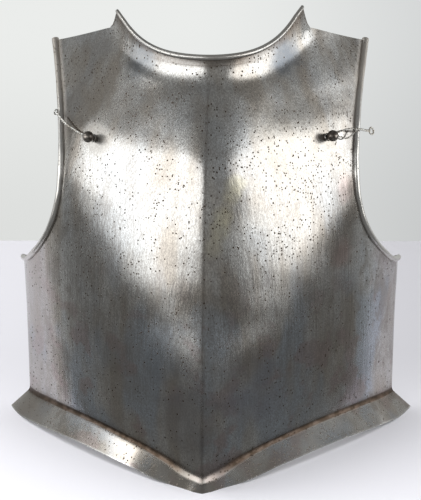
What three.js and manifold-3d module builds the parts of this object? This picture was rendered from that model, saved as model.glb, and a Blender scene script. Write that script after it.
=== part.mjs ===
// A steel cuirass breastplate standing on its waist flange, in millimetres, +Z up, its front towards -Y.
// Widths run to either side of the middle, and "forward" is measured towards the front from the flange ends.
import * as THREE from 'three';
import { mergeVertices } from 'three/addons/utils/BufferGeometryUtils.js';
import Module from 'manifold-3d';

const wasm = await Module();
wasm.setup();
const { Manifold, Mesh } = wasm;

// Driving dimensions.
const sheet = 2.4;              // thickness of the forged steel
const gap = 0.3;                // air between pieces that touch
const armpitHeight = 143;       // where the side edge turns into the armhole
const shoulderHeight = 337;     // outer corner of the shoulder
const shoulderHalfWidth = 137.5;
const neckHeight = 345;         // foot of the neck lip at the middle
const neckHalfWidth = 79.5;     // foot of each horn
const hornRise = 16.5;          // how far the lip's foot climbs from the middle to the horns
const neckPower = 4;            // the neck's edge is level in the middle and rises at its ends
const shoulderPower = 1.06;     // the shoulder falls almost straight
const ridgeDrift = 5.4;         // hand-forged: the ridge wanders this far off the middle at the waist

// The breast as horizontal sections: where the ridge and the side stand, and how the section runs between
// them. A ridgePower of 1 gives a sharp keel and 2 a round front. A sidePower under 1 gives full sides.
const sections = [
  { height: 0, halfWidth: 167.5, ridgeForward: 159, sideForward: 4, ridgePower: 1.03, sidePower: 0.86 },
  { height: 45, halfWidth: 168, ridgeForward: 163, sideForward: -3, ridgePower: 1.06, sidePower: 0.8 },
  { height: 95, halfWidth: 169, ridgeForward: 160, sideForward: -12, ridgePower: 1.14, sidePower: 0.74 },
  { height: 143, halfWidth: 170.5, ridgeForward: 151, sideForward: -19, ridgePower: 1.24, sidePower: 0.7 },
  { height: 190, halfWidth: 168, ridgeForward: 140, sideForward: -22, ridgePower: 1.36, sidePower: 0.68 },
  { height: 230, halfWidth: 163, ridgeForward: 129, sideForward: -24, ridgePower: 1.48, sidePower: 0.7 },
  { height: 270, halfWidth: 157, ridgeForward: 115, sideForward: -29, ridgePower: 1.6, sidePower: 0.8 },
  { height: 310, halfWidth: 152, ridgeForward: 96, sideForward: -42, ridgePower: 1.72, sidePower: 1 },
  { height: 350, halfWidth: 150, ridgeForward: 74, sideForward: -60, ridgePower: 1.8, sidePower: 1.25 },
  { height: 390, halfWidth: 150, ridgeForward: 50, sideForward: -80, ridgePower: 1.8, sidePower: 1.4 },
];

// Half-width of the plate at the armhole edge.
const armhole = [
  { height: armpitHeight, halfWidth: 170.5 },
  { height: 148, halfWidth: 164.5 },
  { height: 157, halfWidth: 158 },
  { height: 171, halfWidth: 148.6 },
  { height: 186, halfWidth: 140.3 },
  { height: 205, halfWidth: 132.8 },
  { height: 228, halfWidth: 128 },
  { height: 252, halfWidth: 126.7 },
  { height: 280, halfWidth: 128.2 },
  { height: 310, halfWidth: 132.4 },
  { height: shoulderHeight, halfWidth: shoulderHalfWidth },
];

// The waist fold and flange, by share of the half-width from the ridge to the side. The rim stands on the
// ground at the point and at both ends, and arches a little between them. The fillet is how far the fold's
// hollow reaches up the body and out along the flange.
const waist = [
  { share: 0, foldHeight: 9, reach: 8.5, rimHeight: 0, fillet: 6 },
  { share: 0.05, foldHeight: 10, reach: 8.7, rimHeight: 0, fillet: 6 },
  { share: 0.1, foldHeight: 12, reach: 9.5, rimHeight: 0, fillet: 5.5 },
  { share: 0.2, foldHeight: 17, reach: 13, rimHeight: 2, fillet: 4.2 },
  { share: 0.35, foldHeight: 21.5, reach: 14, rimHeight: 5.5, fillet: 3.4 },
  { share: 0.6, foldHeight: 24, reach: 15, rimHeight: 7, fillet: 3.2 },
  { share: 0.85, foldHeight: 21.5, reach: 17, rimHeight: 3, fillet: 3.2 },
  { share: 0.95, foldHeight: 19, reach: 18.2, rimHeight: 0, fillet: 3.2 },
  { share: 1, foldHeight: 18, reach: 18.5, rimHeight: 0, fillet: 3.2 },
];
const flangeSweep = 0.1;        // how far the flange's ends turn back as they run out sideways
const flangeEndPower = 8;       // only the flange's last stretch turns sideways
const insideEdge = 0.995;       // the fold's direction is read just inside the plate's side

// The turned edges: their radii, and where an armhole roll's middle lies from the plate's edge, in radii.
const rolls = { armpitRadius: 2.3, shoulderRadius: 2.9, neckRadius: 2.4, hornRadius: 1.7, sides: 8 };
const rollSeat = { inward: 0.7, outward: 0.25 };
const lip = {
  middleHeight: 6.2, leftHorn: 14.5, rightHorn: 18, lean: 1.8, hornLean: 2.9,
  footDepth: 2.8, proud: 0.8, footProud: 1, crestProud: 0.6, buried: 1.8,
};
const neckFlare = { forward: 4.2, depth: 20, from: 75.5, to: 91.5 };  // the neck edge turns forward

// How finely the surfaces are drawn. A power over 1 draws rows closer together near the edge they run to.
const grid = {
  columns: 17, columnPower: 1.4, flangeRows: 2, filletRows: 3, lowerRows: 9, upperRows: 15, upperPower: 1.25,
};
const stations = { armhole: 30, armholePower: 1.5, lip: 36, coilTurn: 10, coilStep: 1.6 };

// How the lip's outer end falls from the horn to the shoulder: how far past the horn, share of its height.
const web = [
  { beyond: 0.6, share: 0.42 },
  { beyond: 1.8, share: 0.16 },
  { beyond: 4, share: 0.03 },
];

const studs = {
  left: { x: -94.6, height: 274.9 },
  right: { x: 99.3, height: 274.7 },
  ballRadius: 4.8, neckRadius: 2, ballStandoff: 7.8, rivetRadius: 4, rivetHeight: 1.6, rivetAir: 0.45,
  ballSteps: 7, sides: 16,
};

// The wires. Each run starts at its stud and is given by places on the face and how far it stands off them.
const wire = {
  radius: 0.6, sides: 6, turns: 1.5, coilFoot: 1.05, coilPitch: 1.24, coilRadius: 2.96,
  twistLength: 5.5, pairSides: 8, pairWidth: 1.75,
};
const leftRun = [
  { x: -103, height: 275, standoff: 3.2 },
  { x: -111.8, height: 276.8, standoff: 4 },
  { x: -117, height: 278.3, standoff: 5 },
  { x: -122, height: 281, standoff: 5.7 },
  { x: -127, height: 283.8, standoff: 5.2 },
];
const rightUpper = [
  { x: 109.7, height: 276, standoff: 3.4 },
  { x: 116, height: 276, standoff: 4.4 },
  { x: 122, height: 274.2, standoff: 5.6 },
];
const rightLower = [
  { x: 109.7, height: 272, standoff: 3 },
  { x: 115.6, height: 269.4, standoff: 3.2 },
  { x: 122, height: 273, standoff: 5.6 },
];
const rightRun = [
  { x: 120.5, height: 274, standoff: 5.4 },
  { x: 124, height: 273.2, standoff: 5.8 },
  { x: 129.1, height: 270.8, standoff: 6 },
  { x: 134, height: 268.8, standoff: 5.4 },
];
const loops = { curlRadius: 2.1, eyeRadius: 2.9 };

const steel = new THREE.MeshStandardMaterial({ color: 0x8f9092, metalness: 1, roughness: 0.38 });
const studSteel = new THREE.MeshStandardMaterial({ color: 0x4a4038, metalness: 1, roughness: 0.4 });
const wireSteel = new THREE.MeshStandardMaterial({ color: 0xb9bcc0, metalness: 1, roughness: 0.3 });

// Value of one column of a table at a place between its rows, along a smooth curve that never overshoots.
function tableValue(rows, along, column, place) {
  const last = rows.length - 1;
  const at = THREE.MathUtils.clamp(place, rows[0][along], rows[last][along]);
  let i = 0;
  while (i < last - 1 && at > rows[i + 1][along]) i += 1;
  const step = (k) => rows[k + 1][along] - rows[k][along];
  const slope = (k) => (rows[k + 1][column] - rows[k][column]) / step(k);
  const tangent = (k) => {
    if (k === 0) return slope(0);
    if (k === last) return slope(last - 1);
    const before = slope(k - 1);
    const after = slope(k);
    return before * after <= 0 ? 0 : (2 * before * after) / (before + after);
  };
  const t = (at - rows[i][along]) / step(i);
  const rise = rows[i + 1][column] - rows[i][column];
  const a = step(i) * tangent(i);
  const b = step(i) * tangent(i + 1);
  return rows[i][column] + a * t + (3 * rise - 2 * a - b) * t ** 2 + (a + b - 2 * rise) * t ** 3;
}

function neckCurve(x) {
  return neckHeight + hornRise * Math.min(Math.abs(x / neckHalfWidth), 1) ** neckPower;
}

// How far the neck edge's flare carries the face forward.
function flareAt(x, height) {
  const beside = THREE.MathUtils.smoothstep(Math.abs(x), neckFlare.from, neckFlare.to);
  const below = Math.max(neckCurve(x) - height, 0);
  return neckFlare.forward * Math.max(1 - below / neckFlare.depth, 0) ** 2 * (1 - beside);
}

// A point of the plate's outer face, without its flange, lip and rolls.
function facePoint(x, height) {
  const section = (column) => tableValue(sections, 'height', column, height);
  const share = Math.min(Math.abs(x) / section('halfWidth'), 1);
  const fullness = (1 - share ** section('ridgePower')) ** section('sidePower');
  const side = section('sideForward');
  const forward = side + (section('ridgeForward') - side) * fullness + flareAt(x, height);
  const drift = ridgeDrift * (1 - (height / shoulderHeight) ** 2) * (1 - share ** 2);
  return new THREE.Vector3(x - drift, -forward, height);
}

// Outward normal of the outer face.
function faceNormal(x, height) {
  const step = 0.5;
  const across = facePoint(x + step, height).sub(facePoint(x - step, height));
  const upward = facePoint(x, height + step).sub(facePoint(x, height - step));
  return across.cross(upward).normalize();
}

function edgeHalfWidth(height) {
  const sideOfBody = tableValue(sections, 'height', 'halfWidth', height);
  return height < armpitHeight ? sideOfBody : tableValue(armhole, 'height', 'halfWidth', height);
}

// Height of the plate's upper edge: the neck curve, then the shoulder falling to its outer corner.
function topHeight(x) {
  const reach = Math.abs(x);
  const hornFoot = neckHeight + hornRise;
  if (reach < neckHalfWidth) return neckCurve(x);
  const left = (shoulderHalfWidth - reach) / (shoulderHalfWidth - neckHalfWidth);
  return shoulderHeight + (hornFoot - shoulderHeight) * Math.max(left, 0) ** shoulderPower;
}

// One upright line of the outer face, from the flange's rim over the fold and up to the upper edge.
function column(share) {
  const reach = Math.abs(share);
  const waistValue = (name) => tableValue(waist, 'share', name, reach);
  const foldHeight = waistValue('foldHeight');
  const fillet = waistValue('fillet');
  const bodyFoot = foldHeight + fillet;
  const onFace = (height) => facePoint(share * edgeHalfWidth(height), height);
  const fold = onFace(foldHeight);
  const outward = faceNormal(share * edgeHalfWidth(foldHeight) * insideEdge, foldHeight).setZ(0).normalize();
  outward.lerp(new THREE.Vector3(Math.sign(share), flangeSweep, 0), reach ** flangeEndPower).normalize();
  const rim = fold.clone().addScaledVector(outward, waistValue('reach')).setZ(waistValue('rimHeight'));
  const flangeTop = fold.clone().lerp(rim, fillet / fold.distanceTo(rim));
  const points = [];
  for (let i = 0; i < grid.flangeRows; i += 1) {
    points.push(rim.clone().lerp(flangeTop, i / grid.flangeRows));
  }
  const bend = new THREE.QuadraticBezierCurve3(flangeTop, fold, onFace(bodyFoot));
  for (let i = 0; i < grid.filletRows; i += 1) {
    points.push(bend.getPoint(i / grid.filletRows));
  }
  for (let i = 0; i < grid.lowerRows; i += 1) {
    points.push(onFace(THREE.MathUtils.lerp(bodyFoot, armpitHeight, i / grid.lowerRows)));
  }
  const top = topHeight(share * shoulderHalfWidth);
  for (let i = 0; i <= grid.upperRows; i += 1) {
    const climb = 1 - (1 - i / grid.upperRows) ** grid.upperPower;
    points.push(onFace(THREE.MathUtils.lerp(armpitHeight, top, climb)));
  }
  return points;
}

// Closed solid between an outer and an inner grid of points of the same size.
function gridSolid(outer, inner) {
  const columns = outer.length;
  const rows = outer[0].length;
  const positions = [...outer.flat(), ...inner.flat()].flatMap((point) => point.toArray());
  const at = (c, r) => c * rows + r;
  const behind = columns * rows;
  const index = [];
  const quad = (a, b, c, d) => index.push(a, b, c, a, c, d);
  for (let c = 0; c < columns - 1; c += 1) {
    for (let r = 0; r < rows - 1; r += 1) {
      const corners = [at(c, r), at(c + 1, r), at(c + 1, r + 1), at(c, r + 1)];
      const ring = c < (columns - 1) / 2 ? corners : [corners[1], corners[2], corners[3], corners[0]];
      quad(...ring);
      quad(...ring.map((k) => k + behind).reverse());
    }
  }
  const edge = [];
  for (let c = 0; c < columns - 1; c += 1) edge.push(at(c, 0));
  for (let r = 0; r < rows - 1; r += 1) edge.push(at(columns - 1, r));
  for (let c = columns - 1; c > 0; c -= 1) edge.push(at(c, rows - 1));
  for (let r = rows - 1; r > 0; r -= 1) edge.push(at(0, r));
  edge.forEach((here, k) => {
    const next = edge[(k + 1) % edge.length];
    quad(next, here, here + behind, next + behind);
  });
  return solidFrom(positions, index);
}

function solidFrom(positions, index) {
  return new Manifold(new Mesh({
    numProp: 3,
    vertProperties: new Float32Array(positions),
    triVerts: new Uint32Array(index),
  }));
}

function solidOf(geometry) {
  geometry.deleteAttribute('normal');
  geometry.deleteAttribute('uv');
  const welded = mergeVertices(geometry, 1e-4);
  return solidFrom(welded.attributes.position.array, welded.index.array);
}

// The body and flange as one sheet of even thickness, with the flange's rim cut level to stand on.
function plateSheet() {
  const outer = [];
  for (let c = -grid.columns; c <= grid.columns; c += 1) {
    const share = Math.abs(c / grid.columns);
    outer.push(column(Math.sign(c) * (1 - (1 - share) ** grid.columnPower)));
  }
  const last = outer.length - 1;
  const top = outer[0].length - 1;
  const inner = outer.map((line, c) => line.map((point, r) => {
    const across = outer[Math.min(c + 1, last)][r].clone().sub(outer[Math.max(c - 1, 0)][r]);
    const upward = line[Math.min(r + 1, top)].clone().sub(line[Math.max(r - 1, 0)]);
    const inward = upward.cross(across).normalize();
    if (r > 0) return point.clone().addScaledVector(inward, sheet);
    const level = inward.clone().setZ(0);
    return point.clone().addScaledVector(level, sheet / level.lengthSq());
  }));
  return gridSolid(outer, inner);
}

// Closed solid swept along places. Each gives a place, two directions and the profile to draw in them.
function sweep(places) {
  const sides = places[0].profile.length;
  const positions = [];
  places.forEach(({ place, out, up, profile }) => profile.forEach(([a, b]) => {
    positions.push(...place.clone().addScaledVector(out, a).addScaledVector(up, b).toArray());
  }));
  const index = [];
  for (let s = 0; s < places.length - 1; s += 1) {
    for (let k = 0; k < sides; k += 1) {
      const here = s * sides + k;
      const next = s * sides + ((k + 1) % sides);
      index.push(here, next, next + sides, here, next + sides, here + sides);
    }
  }
  const end = (places.length - 1) * sides;
  for (let k = 1; k < sides - 1; k += 1) {
    index.push(0, k + 1, k, end, end + k, end + k + 1);
  }
  const solid = solidFrom(positions, index);
  return solid.volume() < 0 ? solidFrom(positions, index.reverse()) : solid;
}

function circle(radius, sides, across = 0, along = 0) {
  return Array.from({ length: sides }, (_, k) => {
    const angle = (2 * Math.PI * (k + 0.5)) / sides;
    return [across + radius * Math.cos(angle), along + radius * Math.sin(angle)];
  });
}

// The armhole's turned edge: a round roll that stands on the outer face along the edge.
function armholeRoll(side) {
  const steps = stations.armhole;
  const places = Array.from({ length: steps + 1 }, (_, k) => {
    const height = armpitHeight + (shoulderHeight - armpitHeight) * (k / steps) ** stations.armholePower;
    return { x: side * edgeHalfWidth(height), height };
  });
  const points = places.map(({ x, height }) => facePoint(x, height));
  return sweep(points.map((point, k) => {
    const ahead = points[Math.min(k + 1, steps)].clone().sub(points[Math.max(k - 1, 0)]).normalize();
    const out = faceNormal(places[k].x, places[k].height);
    const inward = ahead.clone().cross(out).multiplyScalar(side * -1).normalize();
    const radius = THREE.MathUtils.lerp(rolls.armpitRadius, rolls.shoulderRadius, k / steps);
    const place = point.clone().addScaledVector(inward, radius * rollSeat.inward);
    place.addScaledVector(out, radius * rollSeat.outward);
    return { place, out, up: inward, profile: circle(radius, rolls.sides) };
  }));
}

// The neck's raised lip, the roll along its top, a horn at each end and a small web down to the shoulder.
function neckLip() {
  const steps = stations.lip;
  const places = Array.from({ length: steps + 1 }, (_, k) => neckHalfWidth * (2 * (k / steps) - 1));
  const frameAt = (x) => {
    const step = 1.5;
    const foot = (at) => facePoint(at, topHeight(at));
    const ahead = foot(x + step).sub(foot(x - step)).normalize();
    const out = faceNormal(x, topHeight(x));
    return { place: foot(x), out, up: out.clone().cross(ahead).normalize() };
  };
  const share = (x) => Math.min(Math.abs(x / neckHalfWidth), 1) ** 3;
  const lean = (x) => THREE.MathUtils.lerp(lip.lean, lip.hornLean, share(x));
  const horn = (x) => (x < 0 ? lip.leftHorn : lip.rightHorn);
  const riseAt = (x) => THREE.MathUtils.lerp(lip.middleHeight, horn(x), share(x));
  const radiusAt = (x) => THREE.MathUtils.lerp(rolls.neckRadius, rolls.hornRadius, share(x));
  const bandAt = (x, height) => {
    const crest = (riseAt(x) - radiusAt(x)) * height;
    const profile = [
      [-lip.buried, -lip.footDepth], [lip.proud, -lip.footDepth], [lip.footProud, 0],
      [lean(x) * height + lip.crestProud, crest], [lean(x) * height - sheet, crest], [-lip.buried, 0],
    ];
    return { ...frameAt(x), profile };
  };
  const webs = web.map(({ beyond, share: height }) => ({ x: neckHalfWidth + beyond, height }));
  const band = [
    ...webs.toReversed().map(({ x, height }) => bandAt(-x, height)),
    ...places.map((x) => bandAt(x, 1)),
    ...webs.map(({ x, height }) => bandAt(x, height)),
  ];
  const roll = places.map((x) => {
    const profile = circle(radiusAt(x), rolls.sides, lean(x), riseAt(x) - radiusAt(x));
    return { ...frameAt(x), profile };
  });
  return sweep(band).add(sweep(roll));
}

// Where a stud stands on the outer face, and a turn that takes +Z onto the plate's normal there.
function studSeat({ x, height }) {
  const place = facePoint(x, height);
  const normal = faceNormal(x, height);
  const turn = new THREE.Quaternion().setFromUnitVectors(new THREE.Vector3(0, 0, 1), normal);
  return { place, normal, turn };
}

function seated(geometry, seat) {
  geometry.applyQuaternion(seat.turn);
  geometry.translate(seat.place.x, seat.place.y, seat.place.z);
  return geometry;
}

function studHole(spot) {
  const seat = studSeat(spot);
  const hole = new THREE.CylinderGeometry(studs.neckRadius + gap, studs.neckRadius + gap, 20, studs.sides);
  hole.rotateX(Math.PI / 2);
  return solidOf(seated(hole, seat));
}

// A turned stud: round ball, waisted neck, shank through the plate and a riveted head behind it.
function strapStud(spot) {
  const back = -sheet - studs.rivetAir;
  const outline = [
    [0, back - studs.rivetHeight], [studs.rivetRadius * 0.7, back - studs.rivetHeight * 0.8],
    [studs.rivetRadius, back], [studs.neckRadius, back],
  ].map(([radius, along]) => new THREE.Vector2(radius, along));
  const start = Math.asin(studs.neckRadius / studs.ballRadius);
  for (let k = 0; k <= studs.ballSteps; k += 1) {
    const angle = (Math.PI - start) * (1 - k / studs.ballSteps);
    const radius = k === studs.ballSteps ? 0 : studs.ballRadius * Math.sin(angle);
    outline.push(new THREE.Vector2(radius, studs.ballStandoff + studs.ballRadius * Math.cos(angle)));
  }
  const geometry = new THREE.LatheGeometry(outline, studs.sides);
  geometry.rotateX(Math.PI / 2);
  return solidOf(seated(geometry, studSeat(spot)));
}

// A point that stands off the outer face.
function standing({ x, height, standoff }) {
  return facePoint(x, height).addScaledVector(faceNormal(x, height), standoff);
}

// A bent bar along a smooth curve, with its section given by the length run so far.
function bar(points, out, steps, profileAt) {
  const curve = new THREE.CatmullRomCurve3(points);
  const length = curve.getLength();
  return sweep(Array.from({ length: steps + 1 }, (_, k) => {
    const ahead = curve.getTangentAt(k / steps);
    const up = ahead.clone().cross(out).normalize();
    const square = up.clone().cross(ahead);
    return { place: curve.getPointAt(k / steps), out: square, up, profile: profileAt((length * k) / steps) };
  }));
}

function single() {
  return circle(wire.radius, wire.sides);
}

// Section of two wires laid side by side, turned as the pair twists.
function pair(run) {
  const angle = (2 * Math.PI * run) / wire.twistLength;
  return Array.from({ length: wire.pairSides }, (_, k) => {
    const around = (2 * Math.PI * k) / wire.pairSides;
    const across = wire.pairWidth * wire.radius * Math.cos(around);
    const along = wire.radius * Math.sin(around);
    return [
      across * Math.cos(angle) - along * Math.sin(angle), across * Math.sin(angle) + along * Math.cos(angle),
    ];
  });
}

// The wire's turns round a stud's neck.
function coil(spot) {
  const seat = studSeat(spot);
  const count = stations.coilTurn * wire.turns;
  const points = Array.from({ length: count + 1 }, (_, k) => {
    const turn = k / stations.coilTurn;
    const angle = 2 * Math.PI * turn;
    const along = wire.coilFoot + wire.coilPitch * turn;
    const turned = new THREE.Vector3(Math.cos(angle), Math.sin(angle), 0).multiplyScalar(wire.coilRadius);
    return turned.setZ(along).applyQuaternion(seat.turn).add(seat.place);
  });
  return bar(points, seat.normal, count * stations.coilStep, single);
}

// Where a run leaves its coil.
function coilEdge(spot, towards, standoff) {
  const seat = studSeat(spot);
  const aside = standing(towards).sub(seat.place).projectOnPlane(seat.normal);
  return seat.place.clone().addScaledVector(seat.normal, standoff).add(aside.setLength(wire.coilRadius));
}

// A round loop of wire lying along the face at the end of a run.
function loopAfter(run, radius) {
  const [before, end] = run.slice(-2).map(standing);
  const out = faceNormal(run.at(-1).x, run.at(-1).height);
  const centre = end.clone().add(end.clone().sub(before).projectOnPlane(out).setLength(radius));
  const turn = new THREE.Quaternion().setFromUnitVectors(new THREE.Vector3(0, 0, 1), out);
  const ring = new THREE.TorusGeometry(radius, wire.radius, wire.sides, 14);
  return solidOf(seated(ring, { turn, place: centre }));
}

function leftWireTie() {
  const points = [coilEdge(studs.left, leftRun[0], 2.4), ...leftRun.map(standing)];
  const out = faceNormal(leftRun[1].x, leftRun[1].height);
  return coil(studs.left).add(bar(points, out, 34, pair)).add(loopAfter(leftRun, loops.curlRadius));
}

function rightWireTie() {
  const out = faceNormal(rightRun[0].x, rightRun[0].height);
  const strand = (run, standoff) => {
    const points = [coilEdge(studs.right, run[0], standoff), ...run.map(standing)];
    return bar(points, out, 14, single);
  };
  const run = bar(rightRun.map(standing), out, 18, pair);
  const strands = strand(rightUpper, 2.8).add(strand(rightLower, 1.8));
  return coil(studs.right).add(strands).add(run).add(loopAfter(rightRun, loops.eyeRadius));
}

function meshOf(name, solid, material) {
  const { numProp, vertProperties, triVerts } = solid.getMesh();
  const positions = new Float32Array((vertProperties.length / numProp) * 3);
  for (let v = 0; v < positions.length / 3; v += 1) {
    positions.set(vertProperties.subarray(v * numProp, v * numProp + 3), v * 3);
  }
  const geometry = new THREE.BufferGeometry();
  geometry.setAttribute('position', new THREE.BufferAttribute(positions, 3));
  geometry.setIndex(new THREE.BufferAttribute(new Uint32Array(triVerts), 1));
  geometry.computeVertexNormals();
  const mesh = new THREE.Mesh(geometry, material);
  mesh.name = name;
  return mesh;
}

function breastplate() {
  const joined = plateSheet().add(armholeRoll(-1)).add(armholeRoll(1)).add(neckLip());
  return joined.subtract(studHole(studs.left)).subtract(studHole(studs.right));
}

const part = new THREE.Group();
part.name = 'steel_cuirass_breastplate';
part.add(meshOf('breastplate', breastplate(), steel));
part.add(meshOf('left_strap_stud', strapStud(studs.left), studSteel));
part.add(meshOf('right_strap_stud', strapStud(studs.right), studSteel));
part.add(meshOf('left_wire_tie', leftWireTie(), wireSteel));
part.add(meshOf('right_wire_tie', rightWireTie(), wireSteel));

// Stand the whole on the ground plane with the middle of its box over the origin.
const box = new THREE.Box3().setFromObject(part);
const centre = box.getCenter(new THREE.Vector3());
part.children.forEach((mesh) => mesh.geometry.translate(-centre.x, -centre.y, -box.min.z));

export default part;
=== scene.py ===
import math

import bpy
import numpy as np
from mathutils import Matrix, Vector


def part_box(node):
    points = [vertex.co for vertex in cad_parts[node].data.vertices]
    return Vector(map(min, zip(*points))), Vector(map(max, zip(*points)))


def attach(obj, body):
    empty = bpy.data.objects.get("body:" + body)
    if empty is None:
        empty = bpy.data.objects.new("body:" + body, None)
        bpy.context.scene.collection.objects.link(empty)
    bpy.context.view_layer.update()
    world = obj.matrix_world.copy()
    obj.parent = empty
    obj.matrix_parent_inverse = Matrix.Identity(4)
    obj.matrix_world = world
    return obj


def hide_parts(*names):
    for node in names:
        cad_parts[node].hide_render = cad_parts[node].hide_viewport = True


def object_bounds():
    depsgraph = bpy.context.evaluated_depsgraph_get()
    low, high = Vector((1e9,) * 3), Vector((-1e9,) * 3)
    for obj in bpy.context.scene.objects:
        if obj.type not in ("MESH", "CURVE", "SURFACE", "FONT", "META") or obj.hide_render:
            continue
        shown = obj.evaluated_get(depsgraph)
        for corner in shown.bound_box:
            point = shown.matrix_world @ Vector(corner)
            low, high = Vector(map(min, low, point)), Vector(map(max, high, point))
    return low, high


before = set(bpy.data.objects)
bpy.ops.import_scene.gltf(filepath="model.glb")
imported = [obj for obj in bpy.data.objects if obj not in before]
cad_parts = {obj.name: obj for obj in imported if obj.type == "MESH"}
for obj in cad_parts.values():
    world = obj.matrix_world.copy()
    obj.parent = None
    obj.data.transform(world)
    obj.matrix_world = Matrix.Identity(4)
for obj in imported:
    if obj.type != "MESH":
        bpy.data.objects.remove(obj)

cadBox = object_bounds()
boxMiddle = (cadBox[0] + cadBox[1]) / 2
mm = 0.001
black = (0, 0, 0, 1)
print("loaded", len(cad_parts), "pieces")

cameraSettings = {
    "tilt": 20.0,  # degrees, looking down
    "turn": 0.7,  # degrees, the camera stands a little to the right
    "roll": 0.15,  # degrees
    "reach": 1.32,
    "lens": 112.69,  # mm
    "sensor": 36,  # mm
    "aim": (0.0012, -0.0167, -0.0061),  # from the middle of the box
}


def makeCamera():
    camera = bpy.data.objects.new("camera", bpy.data.cameras.new("camera"))
    bpy.context.collection.objects.link(camera)
    camera.data.lens = cameraSettings["lens"]
    camera.data.sensor_width = cameraSettings["sensor"]
    turn = Matrix.Rotation(math.radians(cameraSettings["turn"]), 4, "Z")
    tilt = Matrix.Rotation(math.radians(90 - cameraSettings["tilt"]), 4, "X")
    roll = Matrix.Rotation(-math.radians(cameraSettings["roll"]), 4, "Z")
    facing = turn @ tilt @ roll
    target = boxMiddle + Vector(cameraSettings["aim"])
    back = facing @ Vector((0, 0, cameraSettings["reach"]))
    camera.matrix_world = Matrix.Translation(target + back) @ facing
    bpy.context.scene.camera = camera


makeCamera()
print("camera made")


# helpers for node trees, numbers and meshes


def feed(tree, value, socket):
    if isinstance(value, bpy.types.NodeSocket):
        tree.links.new(value, socket)
    else:
        socket.default_value = value


def addNode(tree, kind, inputs=None, **settings):
    node = tree.nodes.new(kind)
    for key, value in settings.items():
        setattr(node, key, value)
    for key, value in (inputs or {}).items():
        feed(tree, value, node.inputs[key])
    return node


def nodeMath(tree, operation, a, b=0.0, c=0.0):
    return addNode(tree, "ShaderNodeMath", {0: a, 1: b, 2: c}, operation=operation).outputs[0]


def multiply(tree, a, b):
    return nodeMath(tree, "MULTIPLY", a, b)


def add(tree, a, b):
    return nodeMath(tree, "ADD", a, b)


def multiplyAdd(tree, a, b, c):
    return nodeMath(tree, "MULTIPLY_ADD", a, b, c)


def vectorMath(tree, operation, a, b):
    return addNode(tree, "ShaderNodeVectorMath", {0: a, 1: b}, operation=operation).outputs


def mixColour(tree, amount, a, b):
    node = addNode(tree, "ShaderNodeMix", data_type="RGBA")
    for name, value in {"Factor": amount, "A": a, "B": b}.items():
        feed(tree, value, next(socket for socket in node.inputs if socket.name == name and socket.enabled))
    return next(socket for socket in node.outputs if socket.enabled)


def objectCoords(tree):
    return addNode(tree, "ShaderNodeTexCoord").outputs["Object"]


def xyz(tree, vector):
    return addNode(tree, "ShaderNodeSeparateXYZ", {"Vector": vector}).outputs


def attributeValue(tree, name):
    return addNode(tree, "ShaderNodeAttribute", attribute_name=name).outputs["Fac"]


def fade(tree, value, start, end, low=0.0, high=1.0):
    inputs = {"Value": value, "From Min": start, "From Max": end, "To Min": low, "To Max": high}
    return addNode(tree, "ShaderNodeMapRange", inputs, interpolation_type="SMOOTHSTEP").outputs[0]


def noise(tree, coords, scale, detail=2.0, stretch=(1, 1, 1), roughness=0.5):
    mapped = addNode(tree, "ShaderNodeMapping", {"Vector": coords, "Scale": stretch}).outputs[0]
    inputs = {"Vector": mapped, "Scale": scale, "Detail": detail, "Roughness": roughness}
    return addNode(tree, "ShaderNodeTexNoise", inputs).outputs["Fac"]


def addBumps(tree, shader, strength, layers):
    # a layer is a pattern of heights and its depth in metres
    inputs = {"Strength": strength}
    for height, depth in layers:
        inputs.update({"Distance": depth, "Height": height})
        inputs["Normal"] = addNode(tree, "ShaderNodeBump", inputs).outputs[0]
    tree.links.new(inputs["Normal"], shader.inputs["Normal"])


def newMaterial(name):
    material = bpy.data.materials.new(name)
    material.use_nodes = True
    return material, material.node_tree, material.node_tree.nodes["Principled BSDF"]


def meshObject(name, points, faces, material):
    mesh = bpy.data.meshes.new(name)
    mesh.from_pydata(points.tolist(), [], faces)
    mesh.materials.append(material)
    mesh.shade_smooth()
    piece = bpy.data.objects.new(name, mesh)
    bpy.context.collection.objects.link(piece)
    return piece


def addMark(piece, name, values):
    # one number at each point, which the finish reads
    piece.data.attributes.new(name, "FLOAT", "POINT").data.foreach_set("value", values)


def lerp(a, b, t):
    return a + (b - a) * t


def smoothstep(value, low, high):
    t = np.clip((value - low) / (high - low), 0, 1)
    return t * t * (3 - 2 * t)


tableSettings = {
    "wide": 1.7,
    "back": 0.52,
    "front": -0.9,
    "mirroredFrom": 0.15,  # beyond this far to the side, the part mirrored in the steel starts further back
    "mirroredSlope": 0.52,
    "colour": (0.80, 0.795, 0.845, 1),
    "patchScale": 3.0,
    "patchDark": 0.97,
    "dulled": 0.31,  # painted shade at the middle of the back
    "paintedShadeRight": 0.3,  # more painted shade for each metre to the right
    "paintedShadeBack": (-0.12, 0.2),
    "roughness": 0.7,
    "shine": 0.2,
}


def tableFinish():
    settings = tableSettings
    material, tree, shader = newMaterial("paleTable")
    coords = objectCoords(tree)
    colour = settings["colour"]
    patch = tuple(part * settings["patchDark"] for part in colour[:3]) + (1,)
    tint = mixColour(tree, noise(tree, coords, settings["patchScale"]), colour, patch)
    # painted shade: darker towards the back and the right
    place = xyz(tree, coords)
    duller = multiplyAdd(tree, place["X"], settings["paintedShadeRight"], settings["dulled"])
    duller = multiply(tree, duller, fade(tree, place["Y"], *settings["paintedShadeBack"]))
    tree.links.new(mixColour(tree, duller, tint, black), shader.inputs["Base Color"])
    shader.inputs["Roughness"].default_value = settings["roughness"]
    shader.inputs["Specular IOR Level"].default_value = settings["shine"]
    return material


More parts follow.
